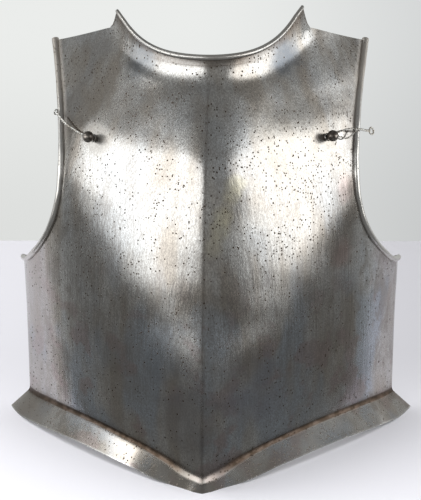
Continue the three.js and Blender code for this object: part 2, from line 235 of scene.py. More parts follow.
def makeTable():
    # the table is one level sheet in two pieces, and the steel mirrors only the one behind the plate
    wide, front, back, near = (tableSettings[name] for name in ("wide", "front", "back", "mirroredFrom"))
    far = near + back / tableSettings["mirroredSlope"]
    behind = np.array([(-near, 0, 0), (near, 0, 0), (far, back, 0), (-far, back, 0)])
    before = np.array([
        (-wide, front, 0), (wide, front, 0), (wide, back, 0), (far, back, 0),
        (near, 0, 0), (-near, 0, 0), (-far, back, 0), (-wide, back, 0),
    ])
    material = tableFinish()
    for name, corners in (("tableBehind", behind), ("tableBefore", before)):
        table = meshObject(name, corners, [tuple(range(len(corners)))], material)
        table.visible_glossy = name == "tableBehind"


panelSettings = {
    "colour": (0.985, 1, 0.98, 1),
    "spread": 1.15,  # how far past its corners a panel runs while its light dies away
    "fullLight": 0.68,  # share of the way out
    "rings": 10,
    "edgeSteps": 4,
    # how far off, how bright, and corners in degrees round from the front and up from level
    "panels": {
        "leftPanel": (2.0, 2.8, (
            (-100, 4), (-92, 0), (-84, -3), (-70, -9), (-58, -8), (-46, -1), (-36, 4), (-28, 7), (-20, 10),
            (-13, 16), (-10, 22), (-12, 27), (-24, 29), (-40, 30), (-48, 28), (-60, 26), (-72, 24),
            (-84, 20), (-100, 16),
        )),
        "rightPanel": (2.0, 2.8, (
            (37, 26), (40, 17), (45, 12), (48, 6), (52, 1), (56, -3), (62, -8), (70, -14), (80, -14), (87, -8),
            (95, -4), (105, 2), (112, 8), (110, 17), (100, 19), (88, 20), (77, 24), (63, 27), (49, 28),
        )),
        "leftTopPanel": (3.0, 4.5, ((-103, 29), (-78, 32), (-78, 44), (-103, 42))),
    },
}

overheadSettings = {"power": 18, "size": (1.6, 1.0), "place": (-0.25, 0.25, 1.6), "turn": (-10, -9)}


def direction(around, up):
    around, up = math.radians(around), math.radians(up)
    return Vector((math.sin(around) * math.cos(up), -math.cos(around) * math.cos(up), math.sin(up)))


def makePanel(name, reach, brightness, corners, finish):
    # a curved sheet of light, spread from its middle to its corners
    middle = sum((direction(*corner) for corner in corners), Vector()).normalized()
    rim, steps = [], panelSettings["edgeSteps"]
    for corner, after in zip(corners, corners[1:] + corners[:1]):
        for k in range(steps):
            rim.append(direction(*(lerp(a, b, k / steps) for a, b in zip(corner, after))))
    rings, count = panelSettings["rings"], len(rim)
    points, shine = [middle], [brightness]
    for ring in range(1, rings + 1):
        share = ring / rings
        points += [middle.lerp(towards, share * panelSettings["spread"]).normalized() for towards in rim]
        shine += [brightness * (1 - smoothstep(share, panelSettings["fullLight"], 1))] * count
    faces = [(0, 1 + k, 1 + (k + 1) % count) for k in range(count)]
    for ring in range(rings - 1):
        start = 1 + ring * count
        for k in range(count):
            after = (k + 1) % count
            faces.append((start + k, start + count + k, start + count + after, start + after))
    placed = np.array([boxMiddle + towards * reach for towards in points])
    panel = meshObject(name, placed, faces, finish)
    addMark(panel, "shine", shine)
    panel.visible_camera = False


def makeLights():
    finish, tree, shader = newMaterial("panelLight")
    shader.inputs["Base Color"].default_value = black
    shader.inputs["Emission Color"].default_value = panelSettings["colour"]
    tree.links.new(attributeValue(tree, "shine"), shader.inputs["Emission Strength"])
    for name, (reach, brightness, corners) in panelSettings["panels"].items():
        makePanel(name, reach, brightness, corners, finish)
    # a lamp for the table, which the steel doesn't mirror
    lamp = bpy.data.lights.new("overhead", "AREA")
    lamp.shape = "RECTANGLE"
    lamp.size, lamp.size_y = overheadSettings["size"]
    lamp.energy = overheadSettings["power"]
    overhead = bpy.data.objects.new("overhead", lamp)
    overhead.location = overheadSettings["place"]
    overhead.rotation_euler = (*(math.radians(angle) for angle in overheadSettings["turn"]), 0)
    overhead.visible_glossy = False
    bpy.context.collection.objects.link(overhead)


roomSettings = {
    "wallLeft": (0.83, 0.845, 0.83, 1),
    "wallRight": (0.61, 0.625, 0.63, 1),
    "mirrored": (0.98, 1, 0.975, 1),
    "even": (1, 1, 1, 1),
    "evenLight": 0.68,
    # the part of a direction that each change follows, its start and end there, and what it gives at both
    "acrossWall": ("X", -0.03, 0.2),
    "wallFoot": ("Z", -0.34, -0.2, 0.87, 1),
    "upward": ("Z", -0.1, 0.2, 0.2, 0.38),
    "high": ("Z", 0.35, 0.65, 0, -0.15),
    "behind": ("Y", 0.1, 0.45, 0, 0.42),
    "behindLow": ("Z", 0.25, 0.0),
}


def makeRoom():
    world = bpy.data.worlds.new("room")
    bpy.context.scene.world = world
    world.use_nodes = True
    tree = world.node_tree
    tree.nodes.clear()
    parts = xyz(tree, addNode(tree, "ShaderNodeTexCoord").outputs["Generated"])

    def change(name):
        part, *limits = roomSettings[name]
        return fade(tree, parts[part], *limits)

    def background(colour, strength):
        return addNode(tree, "ShaderNodeBackground", {"Color": colour, "Strength": strength}).outputs[0]

    def choose(ray, otherwise, chosen):
        inputs = {0: path[ray], 1: otherwise, 2: chosen}
        return addNode(tree, "ShaderNodeMixShader", inputs).outputs[0]

    path = addNode(tree, "ShaderNodeLightPath").outputs
    # the wall seen behind the table darkens to the right and towards the table: painted shade on the backdrop
    wall = mixColour(tree, change("acrossWall"), roomSettings["wallLeft"], roomSettings["wallRight"])
    seen = background(wall, change("wallFoot"))
    # what the steel mirrors: a dim room in front, a pale wall behind
    pale = multiply(tree, change("behind"), change("behindLow"))
    dim = add(tree, change("upward"), change("high"))
    mirrored = background(roomSettings["mirrored"], add(tree, dim, pale))
    even = background(roomSettings["even"], roomSettings["evenLight"])
    unseen = choose("Is Glossy Ray", even, mirrored)
    addNode(tree, "ShaderNodeOutputWorld", {"Surface": choose("Is Camera Ray", unseen, seen)})


makeTable()
makeLights()
makeRoom()
bpy.context.scene.view_settings.view_transform = "Standard"
print("table, room and lights made")

yellowStain = (0.62, 0.57, 0.40, 1)
brownStain = (0.47, 0.42, 0.37, 1)

steelSettings = {
    "bright": (0.585, 0.58, 0.575, 1),
    "brown": (0.43, 0.39, 0.35, 1),
    "blue": (0.43, 0.48, 0.55, 1),
    "plum": (0.42, 0.33, 0.33, 1),
    "grime": (0.20, 0.18, 0.17, 1),
    "blotch": (0.27, 0.245, 0.225, 1),
    "leftSide": (0.34, 0.315, 0.30, 1),
    "dirt": (0.055, 0.04, 0.03, 1),
    "rust": (0.16, 0.085, 0.045, 1),
    "wornEdge": (0.78, 0.775, 0.77, 1),
    "dullBrown": (0.62, 0.57, 0.52, 1),
    "inside": (0.19, 0.165, 0.145, 1),
    # cells to the metre, detail, stretch and roughness of each pattern
    "patterns": {
        "clouds": (16, 3),
        "streaks": (60, 3, (1, 1, 0.12)),
        "cool": (24, 2, (1, 1, 0.5)),
        "plum": (38, 3),
        "grain": (1000, 4, (1, 1, 0.6), 0.7),
        "ragged": (45, 4),
        "brush": (800, 3, (1, 1, 0.04), 0.7),
        "coarse": (190, 2, (1, 1, 0.09), 0.6),
        "blotch": (55, 5, (1, 1, 0.6), 0.65),
        "crowd": (42, 4),
        "broken": (130, 3),
    },
    # where each change starts and ends, in a pattern, in metres or in a mark, and its strength at both
    "changes": {
        "tone": (0.38, 0.6),
        "low": (0.2, 0.1),
        "cool": (0.47, 0.64, 0, 0.8),
        "coolLow": (0, 1, 0.4, 1),
        "plum": (0.52, 0.62, 0, 0.6),
        "grain": (0.42, 0.57, 0.5, 0),
        "grainOnFlange": (0, 1, 1, 0.3),
        "line": (0.38, 0.56, 0.42, 0),
        "lineBelowBreast": (0.29, 0.23, 0.35, 1),
        "lineBeside": (0.14, 0.11),
        "lineAboveFlange": (0.05, 0.14, 0.4, 1),
        "blotch": (0.5, 0.6),
        "blotchBeside": (0.09, 0.13, 0.12, 0.55),
        "leftSide": (-0.13, -0.155, 0, 0.45),
        "crowd": (0.45, 0.62, 0.06, 0.3),
        "crowdNear": (0.09, 0.02, 0, 0.15),
        "crowdAbove": (0.13, 0.22, 0.55, 1),
        "rust": (0.35, 0.6),
        "dirt": (0.6, 0.4, 0.9, 1),
        "roughness": (0.35, 0.7, 0.14, 0.22),
        "bumpOnFlange": (0, 1, 0.4, 0.06),
    },
    "pitted": (0.09, -0.02, 0.26),  # the pits are thickest round here
    "pittedFlange": 0.15,
    "pits": ((190, 0.2), (300, 0.29), (450, 0.38)),  # cells to the metre, share of a cell that is pit
    "cover": {"pit": 0.97, "flange": 0.3, "rust": 0.2, "worn": 0.7, "dull": 0.6},
    "rougher": {"groove": 0.2, "inside": 0.3, "dull": 0.38, "pit": 0.3},
    "brushDepth": 0.00012,
    "coarseDepth": 0.00022,
    # middle of a patch, its radius, its colour and how strong it is; most are discolouring of the steel, the
    # last two are painted shade
    "stainsAndPaintedShade": (
        ((0.075, -0.03, 0.285), 0.07, (0.50, 0.47, 0.43, 1), 0.35),
        ((-0.085, -0.02, 0.315), 0.06, brownStain, 0.5),
        ((0.105, -0.02, 0.30), 0.06, brownStain, 0.5),
        ((0.022, -0.052, 0.254), 0.012, yellowStain, 0.4),
        ((0.018, -0.056, 0.242), 0.012, yellowStain, 0.4),
        ((0.013, -0.060, 0.230), 0.013, yellowStain, 0.45),
        ((0.009, -0.065, 0.218), 0.013, yellowStain, 0.4),
        ((0.004, -0.070, 0.206), 0.012, (0.62, 0.57, 0.42, 1), 0.35),
        ((0.114, 0.012, 0.228), 0.018, (0.50, 0.38, 0.36, 1), 0.55),
        ((0.112, -0.004, 0.175), 0.02, (0.50, 0.36, 0.33, 1), 0.6),
        ((-0.05, -0.09, 0.11), 0.05, (0.30, 0.33, 0.38, 1), 0.6),
        ((0.05, -0.09, 0.075), 0.06, (0.28, 0.28, 0.33, 1), 0.6),
        ((-0.02, -0.10, 0.06), 0.05, (0.27, 0.26, 0.27, 1), 0.6),
        ((-0.09, -0.06, 0.09), 0.05, (0.33, 0.30, 0.27, 1), 0.5),
        # painted shade: two dark patches under the neck, towards the horns
        ((0.068, 0.012, 0.343), 0.03, (0.12, 0.135, 0.16, 1), 0.9),
        ((-0.058, 0.008, 0.343), 0.03, (0.14, 0.15, 0.165, 1), 0.85),
    ),
    "patchEdge": (0.45, -0.3),  # in radii, from clean steel to the full patch
}

markNames = ("groove", "flange", "worn", "inside", "dull")


def forgedSteel():
    settings = steelSettings
    material, tree, shader = newMaterial("forgedSteel")
    coords = objectCoords(tree)
    place = xyz(tree, coords)
    beside = nodeMath(tree, "ABSOLUTE", place["X"])
    pattern = {name: noise(tree, coords, *rule) for name, rule in settings["patterns"].items()}
    mark = {name: attributeValue(tree, name) for name in markNames}

    def change(name, value):
        return fade(tree, value, *settings["changes"][name])

    def times(first, *others):
        for other in others:
            first = multiply(tree, first, other)
        return first

    # clouds and streaks of brown, cooler and plum patches low down, and a fine dark grain
    tone = multiplyAdd(tree, pattern["streaks"], 0.5, times(pattern["clouds"], 0.5))
    low = change("low", place["Z"])
    coats = [
        (change("tone", tone), settings["bright"]),
        (times(change("cool", pattern["cool"]), change("coolLow", low)), settings["blue"]),
        (times(change("plum", pattern["plum"]), low), settings["plum"]),
        (times(change("grain", pattern["grain"]), change("grainOnFlange", mark["flange"])), settings["grime"]),
    ]
    clean, full = settings["patchEdge"]
    for middle, radius, patchColour, strength in settings["stainsAndPaintedShade"]:
        gap = vectorMath(tree, "DISTANCE", coords, middle)["Value"]
        uneven = multiplyAdd(tree, pattern["ragged"], -radius, gap)
        coats.append((fade(tree, uneven, clean * radius, full * radius, 0, strength), patchColour))
    # grinding lines run upright, clearest below the breast, and there are blotches towards the sides
    lined = times(change("lineBelowBreast", place["Z"]), change("lineBeside", beside))
    lined = times(lined, change("lineAboveFlange", place["Z"]))
    coats += [
        (times(change("line", pattern["brush"]), lined), settings["grime"]),
        (times(change("blotch", pattern["blotch"]), change("blotchBeside", beside)), settings["blotch"]),
        (change("leftSide", place["X"]), settings["leftSide"]),
    ]
    # pits, thickest on the wearer's left breast and on the flange
    toPitted = vectorMath(tree, "DISTANCE", coords, settings["pitted"])["Value"]
    crowd = add(tree, change("crowd", pattern["crowd"]), change("crowdNear", toPitted))
    crowd = times(crowd, change("crowdAbove", place["Z"]))
    crowd = multiplyAdd(tree, mark["flange"], settings["pittedFlange"], crowd)
    pit = 0.0
    for scale, size in settings["pits"]:
        cells = addNode(tree, "ShaderNodeTexVoronoi", {"Vector": coords, "Scale": scale, "Randomness": 1.0})
        chance = addNode(tree, "ShaderNodeSeparateColor", {"Color": cells.outputs["Color"]}).outputs[0]
        hole = fade(tree, cells.outputs["Distance"], size, size * 0.6)
        pit = nodeMath(tree, "MAXIMUM", pit, times(hole, nodeMath(tree, "LESS_THAN", chance, crowd)))
    # dirt and rust in the grooves, painted shadow under the neck roll through the same groove mark, worn
    # bright edges, a plain dark inside
    cover = settings["cover"]
    rusty = times(mark["groove"], change("rust", pattern["broken"]))
    coats += [
        (times(pit, cover["pit"]), settings["dirt"]),
        (times(mark["flange"], cover["flange"]), settings["brown"]),
        # the groove mark holds dirt, and painted shadow along the crest of the neck band under the roll
        (times(mark["groove"], change("dirt", pattern["broken"])), settings["dirt"]),
        (times(rusty, cover["rust"]), settings["rust"]),
        (times(mark["worn"], cover["worn"]), settings["wornEdge"]),
        (times(mark["dull"], cover["dull"]), settings["dullBrown"]),
        (mark["inside"], settings["inside"]),
    ]
    colour = settings["brown"]
    for amount, coat in coats:
        colour = mixColour(tree, amount, colour, coat)
    tree.links.new(colour, shader.inputs["Base Color"])
    shader.inputs["Metallic"].default_value = 1.0
    rough = change("roughness", pattern["clouds"])
    for name, more in settings["rougher"].items():
        rough = multiplyAdd(tree, pit if name == "pit" else mark[name], more, rough)
    tree.links.new(rough, shader.inputs["Roughness"])
    layers = ((pattern["brush"], settings["brushDepth"]), (pattern["coarse"], settings["coarseDepth"]))
    addBumps(tree, shader, change("bumpOnFlange", mark["flange"]), layers)
    return material


# two colours and the pattern that parts them, the roughness over that pattern, and a fine bump
studFinishSettings = {
    "colours": ((0.10, 0.085, 0.075, 1), (0.27, 0.245, 0.225, 1)),
    "pattern": (260, 4),
    "parting": (0.35, 0.65),
    "roughness": (0.3, 0.7, 0.42, 0.26),
    "bumpPattern": (1200, 3),
    "bumpStrength": 0.3,
    "bumpDepth": 0.0002,
}
wireFinishSettings = {
    "colours": ((0.82, 0.81, 0.79, 1), (0.48, 0.43, 0.37, 1)),
    "pattern": (420, 3),
    "parting": (0.4, 0.65),
    "roughness": (0.3, 0.7, 0.24, 0.42),
    "bumpPattern": (2500, 2),
    "bumpStrength": 0.2,
    "bumpDepth": 0.0001,
}


def patchySteel(name, settings):
    material, tree, shader = newMaterial(name)
    coords = objectCoords(tree)
    patches = noise(tree, coords, *settings["pattern"])
    colour = mixColour(tree, fade(tree, patches, *settings["parting"]), *settings["colours"])
    tree.links.new(colour, shader.inputs["Base Color"])
    shader.inputs["Metallic"].default_value = 1.0
    tree.links.new(fade(tree, patches, *settings["roughness"]), shader.inputs["Roughness"])
    height = noise(tree, coords, *settings["bumpPattern"])
    addBumps(tree, shader, settings["bumpStrength"], [(height, settings["bumpDepth"])])
    return material


steelFinish = forgedSteel()
studFinish = patchySteel("studSteel", studFinishSettings)
wireFinish = patchySteel("wireSteel", wireFinishSettings)
print("finishes made")

# the breastplate is in millimetres; "forward" is measured towards the front from the flange ends
plate = {
    "sheet": 2.4,
    "armpit": 143,
    "shoulder": 337,
    "shoulderHalf": 137.5,
    "shoulderCurve": 1.06,
    "neck": 345,
    "neckHalf": 79.5,
    "hornRise": 16.5,
    "drift": 5.4,
    "flare": (4.2, 20, 75.5, 91.5),  # forward, depth, and where it dies out beside the neck
    "flangeSweep": 0.1,
    # height, half width, ridge forward, side forward, ridge power, side power
    "sections": (
        (0, 167.5, 159, 4, 1.03, 0.86),
        (45, 168, 163, -3, 1.06, 0.8),
        (95, 169, 160, -12, 1.14, 0.74),
        (143, 170.5, 151, -19, 1.24, 0.7),
        (190, 168, 140, -22, 1.36, 0.68),
        (230, 163, 129, -24, 1.48, 0.7),
        (270, 157, 115, -29, 1.6, 0.8),
        (310, 152, 96, -42, 1.72, 1),
        (350, 150, 74, -60, 1.8, 1.25),
        (390, 150, 50, -80, 1.8, 1.4),
    ),
    # height, half width at the armhole
    "armhole": (
        (143, 170.5), (148, 164.5), (157, 158), (171, 148.6), (186, 140.3), (205, 132.8),
        (228, 128), (252, 126.7), (280, 128.2), (310, 132.4), (337, 137.5),
    ),
    # share of the half width, fold height, reach, rim height, fillet
    "waist": (
        (0, 9, 8.5, 0, 6), (0.05, 10, 8.7, 0, 6), (0.1, 12, 9.5, 0, 5.5), (0.2, 17, 13, 2, 4.2),
        (0.35, 21.5, 14, 5.5, 3.4), (0.6, 24, 15, 7, 3.2), (0.85, 21.5, 17, 3, 3.2),
        (0.95, 19, 18.2, 0, 3.2), (1, 18, 18.5, 0, 3.2),
    ),
    "columns": 84,
    "columnCrowding": 1.15,  # above 1 the columns stand closer towards the sides
    "flangeRows": 12,
    "filletRows": 12,
    "lowerRows": 56,
    "upperRows": 100,
    "rowCrowding": 1.25,  # above 1 the rows lie closer towards the neck
    "flangeMarkRows": 20,  # the flange's own finish runs a little way up the fillet
    "sharpAngle": 38,
}

# shallow waves left by the hammer, the same on every run
hammer = {"seed": 7, "waves": 34, "length": (28, 90), "fullSize": 60, "depth": 0.02, "fadeRows": 12}

# strength, place and width of the dirt, in millimetres or in shares of the fillet or the half width
dirt = {
    "fold": (1.15, 0.5, 0.48),
    "foldPolish": (0.72, -0.01, 0.11),  # how much less at the tip
    "neck": (0.6, 1.1),  # strength and depth below the lip
    "neckEnds": (30, 60),
    "arm": (0.1, 4.2, 1.2),
    "ridge": (0.4, 330),  # strength and top
}

# duller along the armholes and round each stud, where a cloth doesn't reach
dulled = {"edge": 0.8, "fromEdge": (4, 9), "edgeHeights": (240, 300), "stud": 0.4, "fromStud": (8, 15)}

studSpots = {
    "left": {"x": -94.6, "height": 274.9},
    "right": {"x": 99.3, "height": 274.7},
}


def smoothTable(rows, at):
    # the same smooth curve through the rows as the solids have, for a whole array of places
    rows = np.array(rows, float)
    along, values = rows[:, 0], rows[:, 1:]
    at = np.clip(np.asarray(at, float), along[0], along[-1])
    step = np.diff(along)[:, None]
    slope = np.diff(values, axis=0) / step
    before, after = slope[:-1], slope[1:]
    level = before * after <= 0
    inner = np.where(level, 0, 2 * before * after / np.where(level, 1, before + after))
    tangent = np.vstack([slope[:1], inner, slope[-1:]])
    i = np.clip(np.searchsorted(along, at, side="right") - 1, 0, len(along) - 2)
    t = ((at - along[i]) / step[i, 0])[..., None]
    rise = values[i + 1] - values[i]
    a, b = step[i] * tangent[i], step[i] * tangent[i + 1]
    curve = values[i] + a * t + (3 * rise - 2 * a - b) * t**2 + (a + b - 2 * rise) * t**3
    return np.moveaxis(curve, -1, 0)


def unit(vectors):
    return vectors / np.maximum(np.linalg.norm(vectors, axis=-1, keepdims=True), 1e-12)


def neckCurve(x):
    return plate["neck"] + plate["hornRise"] * np.minimum(np.abs(x / plate["neckHalf"]), 1) ** 4


def hammered(x, height):
    random = np.random.default_rng(hammer["seed"])
    total = np.zeros_like(x)
    for _ in range(hammer["waves"]):
        length = random.uniform(*hammer["length"])
        turn = random.uniform(0, math.pi)
        phase = random.uniform(0, 1)
        cycles = (math.cos(turn) * x + math.sin(turn) * height) / length + phase
        total += length / hammer["fullSize"] * np.sin(2 * math.pi * cycles)
    return hammer["depth"] * total


def facePoint(x, height):
    x, height = np.broadcast_arrays(np.asarray(x, float), np.asarray(height, float))
    halfWidth, ridge, side, ridgePower, sidePower = smoothTable(plate["sections"], height)
    share = np.minimum(np.abs(x) / halfWidth, 1)
    fullness = (1 - share**ridgePower) ** sidePower
    flareForward, flareDepth, fadeFrom, fadeTo = plate["flare"]
    below = np.maximum(neckCurve(x) - height, 0)
    flare = flareForward * np.maximum(1 - below / flareDepth, 0) ** 2
    flare = flare * (1 - smoothstep(np.abs(x), fadeFrom, fadeTo))
    forward = side + (ridge - side) * fullness + flare
    drift = plate["drift"] * (1 - (height / plate["shoulder"]) ** 2) * (1 - share**2)
    return np.stack([x - drift, -forward, height], -1)


def faceNormal(x, height):
    step = 0.5
    across = facePoint(x + step, height) - facePoint(x - step, height)
    upward = facePoint(x, height + step) - facePoint(x, height - step)
    return unit(np.cross(across, upward))


def edgeHalfWidth(height):
    height = np.asarray(height, float)
    body = smoothTable(plate["sections"], height)[0]
    return np.where(height < plate["armpit"], body, smoothTable(plate["armhole"], height)[0])


def topHeight(x):
    reach = np.abs(x)
    hornFoot = plate["neck"] + plate["hornRise"]
    inward = np.maximum((plate["shoulderHalf"] - reach) / (plate["shoulderHalf"] - plate["neckHalf"]), 0)
    shoulder = lerp(plate["shoulder"], hornFoot, inward ** plate["shoulderCurve"])
    return np.where(reach < plate["neckHalf"], neckCurve(x), shoulder)


def plateColumns():
    # every upright line of the outer face: flange, fold, body, and the chest up to the neck
    count = plate["columns"]
    step = np.arange(-count, count + 1) / count
    share = np.sign(step) * (1 - (1 - np.abs(step)) ** plate["columnCrowding"])
    foldHeight, reach, rimHeight, fillet = smoothTable(plate["waist"], np.abs(share))
    bodyFoot = foldHeight + fillet

    def onFace(height):
        return facePoint(share * edgeHalfWidth(height), height)

    fold = onFace(foldHeight)
    outward = faceNormal(share * edgeHalfWidth(foldHeight) * 0.995, foldHeight)  # just inside the edge
    outward[:, 2] = 0
    outward = unit(outward)
    sideways = np.stack([np.sign(share), np.full_like(share, plate["flangeSweep"]), np.zeros_like(share)], -1)
    outward = unit(lerp(outward, sideways, (np.abs(share) ** 8)[:, None]))
    rim = fold + outward * reach[:, None]
    rim[:, 2] = rimHeight
    run = np.linalg.norm(rim - fold, axis=1)
    flangeTop = lerp(fold, rim, (fillet / run)[:, None])
    foot = onFace(bodyFoot)
    top = topHeight(share * plate["shoulderHalf"])
    rows = []
    for i in range(plate["flangeRows"]):
        rows.append(lerp(rim, flangeTop, i / plate["flangeRows"]))
    for i in range(plate["filletRows"]):
        t = i / plate["filletRows"]
        rows.append((1 - t) ** 2 * flangeTop + 2 * t * (1 - t) * fold + t * t * foot)
    for i in range(plate["lowerRows"]):
        rows.append(onFace(lerp(bodyFoot, plate["armpit"], i / plate["lowerRows"])))
    for i in range(plate["upperRows"] + 1):
        climb = 1 - (1 - i / plate["upperRows"]) ** plate["rowCrowding"]
        rows.append(onFace(lerp(plate["armpit"], top, climb)))
    return share, np.stack(rows, 1)


def gridFaces(columns, rows, start, flip):
    faces = []
    for c in range(columns - 1):
        for r in range(rows - 1):
            a, b = start + c * rows + r, start + (c + 1) * rows + r
            quad = (a, b, b + 1, a + 1)
            faces.append(quad[::-1] if flip else quad)
    return faces


def plateMarks(share, outer):
    # where dirt gathers, what hands have worn bright and what has stayed dull
    row, height = np.arange(outer.shape[1]), outer[..., 2]
    halfWidth = edgeHalfWidth(height)
    sideways = share[:, None] * halfWidth
    fromEdge = halfWidth - np.abs(sideways)
    strength, middle, width = dirt["fold"]
    upFillet = (row - plate["flangeRows"]) / plate["filletRows"]
    groove = strength * np.exp(-(((upFillet - middle) / width) ** 4))[None, :]
    less, middle, width = dirt["foldPolish"]
    groove = groove * (1 - less * np.exp(-(((share - middle) / width) ** 2)))[:, None]
    strength, width = dirt["neck"]
    underLip = np.maximum(neckCurve(sideways) - lip["footDepth"] - height, 0)
    neckDirt = strength * np.exp(-underLip / width)
    groove = groove + neckDirt * (1 - smoothstep(np.abs(sideways), *dirt["neckEnds"]))
    strength, place, width = dirt["arm"]
    armDirt = strength * np.exp(-np.abs(fromEdge - place) / width)
    groove = groove + armDirt * (height > plate["armpit"])
    strength, top = dirt["ridge"]
    groove = groove + strength * ((share == 0)[:, None] & (height < top))
    dull = dulled["edge"] * (1 - smoothstep(fromEdge, *dulled["fromEdge"]))
    dull = dull * smoothstep(height, *dulled["edgeHeights"])
    for stud in studSpots.values():
        away = np.hypot(outer[..., 0] - stud["x"], height - stud["height"])
        dull = dull + dulled["stud"] * (1 - smoothstep(away, *dulled["fromStud"]))
    outside = {
        "groove": np.clip(groove, 0, 1),
        "flange": row < plate["flangeMarkRows"],
        "worn": row < 1,
        "inside": 0.0,
        "dull": dull,
    }
    marks = {}
    for name, value in outside.items():
        within = np.full(height.size, float(name == "inside"))
        marks[name] = np.concatenate([np.broadcast_to(value, height.shape).ravel(), within])
    return marks


def plateShell():
    share, outer = plateColumns()
    columns, rows = outer.shape[:2]
    across = np.gradient(outer, axis=0)
    upward = np.gradient(outer, axis=1)
    normal = unit(np.cross(across, upward))
    foldRow = plate["flangeRows"] + plate["filletRows"]
    body = np.clip((np.arange(rows) - foldRow) / hammer["fadeRows"], 0, 1)[None, :]
    dent = hammered(outer[..., 0], outer[..., 2])
    outer = outer + normal * (dent * body)[..., None]
    inner = outer - normal * plate["sheet"]
    # near the rim the inner skin is cut level, so that nothing hangs below the edge it stands on
    flangeRows = slice(0, plate["flangeRows"])
    level = normal[:, flangeRows] * (1, 1, 0)
    cut = outer[:, flangeRows] - level * (plate["sheet"] / (level**2).sum(-1))[..., None]
    short = outer[:, :1, 2] - inner[:, flangeRows, 2]
    slide = np.clip(short / (outer[:, flangeRows, 2] - inner[:, flangeRows, 2]), 0, 1)
    inner[:, flangeRows] = lerp(inner[:, flangeRows], cut, slide[..., None])
    count = columns * rows
    faces = gridFaces(columns, rows, 0, False) + gridFaces(columns, rows, count, True)
    edge = [c * rows for c in range(columns - 1)]
    edge += [(columns - 1) * rows + r for r in range(rows - 1)]
    edge += [c * rows + rows - 1 for c in range(columns - 1, 0, -1)]
    edge += list(range(rows - 1, 0, -1))
    for here, after in zip(edge, edge[1:] + edge[:1]):
        faces.append((after, here, here + count, after + count))
    points = np.concatenate([outer.reshape(-1, 3), inner.reshape(-1, 3)])
    return points, faces, plateMarks(share, outer)


def sweepRings(rings):
    # a closed bar from rings of points, capped at both ends
    stations, sides = rings.shape[:2]
    faces = []
    for s in range(stations - 1):
        for k in range(sides):
            here, after = s * sides + k, s * sides + (k + 1) % sides
            faces.append((here, after, after + sides, here + sides))
    end = (stations - 1) * sides
    faces.append(tuple(range(sides))[::-1])
    faces.append(tuple(range(end, end + sides)))
    points = rings.reshape(-1, 3)
    volume = 0.0
    for face in faces:
        first = points[face[0]]
        for b, c in zip(face[1:], face[2:]):
            volume += np.dot(first, np.cross(points[b], points[c]))
    if volume < 0:
        faces = [face[::-1] for face in faces]
    return points, faces


def ringAround(place, out, up, profile):
    # profile is (stations, sides, 2)
    return place[:, None] + out[:, None] * profile[..., :1] + up[:, None] * profile[..., 1:]


def circleProfile(radius, sides, across=0.0, along=0.0):
    angle = 2 * math.pi * (np.arange(sides) + 0.5) / sides
    profile = np.stack([np.cos(angle), np.sin(angle)], -1)[None] * radius[:, None, None]
    profile[..., 0] += np.asarray(across)[..., None]
    profile[..., 1] += np.asarray(along)[..., None]
    return profile


rolls = {
    "armpitRadius": 2.3, "shoulderRadius": 2.9, "neckRadius": 2.4, "hornRadius": 1.7,
    "inward": 0.7, "outward": 0.25, "stations": 150, "crowding": 1.5, "sides": 20,
    "wobbles": ((0.05, 7.3, 1), (0.03, 3.1, 0)),  # size, length, and shift between the sides
    "dullFrom": (275, 310), "dullLow": 0.35, "wornLow": 0.8, "neckMarks": {"worn": 0.5, "dull": 0.4},
}


def armholeRoll(side):
    t = np.linspace(0, 1, rolls["stations"] + 1)
    height = lerp(plate["armpit"], plate["shoulder"], t ** rolls["crowding"])
    x = side * edgeHalfWidth(height)
    points = facePoint(x, height)
    ahead = unit(np.gradient(points, axis=0))
    out = faceNormal(x, height)
    inward = unit(np.cross(ahead, out)) * -side
    wobble = 1 + sum(size * np.sin(height / length + shift * side) for size, length, shift in rolls["wobbles"])
    radius = lerp(rolls["armpitRadius"], rolls["shoulderRadius"], t) * wobble
    place = points + inward * (radius * rolls["inward"])[:, None] + out * (radius * rolls["outward"])[:, None]
    # browner and duller towards the shoulder, rubbed bright beside the breast
    dull = np.repeat(smoothstep(height, *rolls["dullFrom"]), rolls["sides"])
    points, faces = sweepRings(ringAround(place, out, inward, circleProfile(radius, rolls["sides"])))
    return points, faces, {"dull": lerp(rolls["dullLow"], 1, dull), "worn": rolls["wornLow"] * (1 - dull)}


lip = {
    "middleHeight": 6.2, "leftHorn": 14.5, "rightHorn": 18, "lean": 1.8, "hornLean": 2.9, "footDepth": 2.8,
    "proud": 0.8, "footProud": 1, "crestProud": 0.6, "buried": 1.8, "stations": 180,
    "web": ((0.6, 0.42), (1.8, 0.16), (4, 0.03)),  # past the horn, share of its height
    "footDirt": 0.5, "crestPaintedShadow": 0.9,
}


def lipFrame(x):
    step = 1.5
    foot = facePoint(x, topHeight(x))
    ahead = unit(facePoint(x + step, topHeight(x + step)) - facePoint(x - step, topHeight(x - step)))
    out = faceNormal(x, topHeight(x))
    return foot, out, unit(np.cross(out, ahead))


def lipSizes(x):
    # height, roll radius and forward lean of the neck lip
    share = np.minimum(np.abs(x / plate["neckHalf"]), 1) ** 3
    horn = np.where(x < 0, lip["leftHorn"], lip["rightHorn"])
    return (
        lerp(lip["middleHeight"], horn, share),
        lerp(rolls["neckRadius"], rolls["hornRadius"], share),
        lerp(lip["lean"], lip["hornLean"], share),
    )


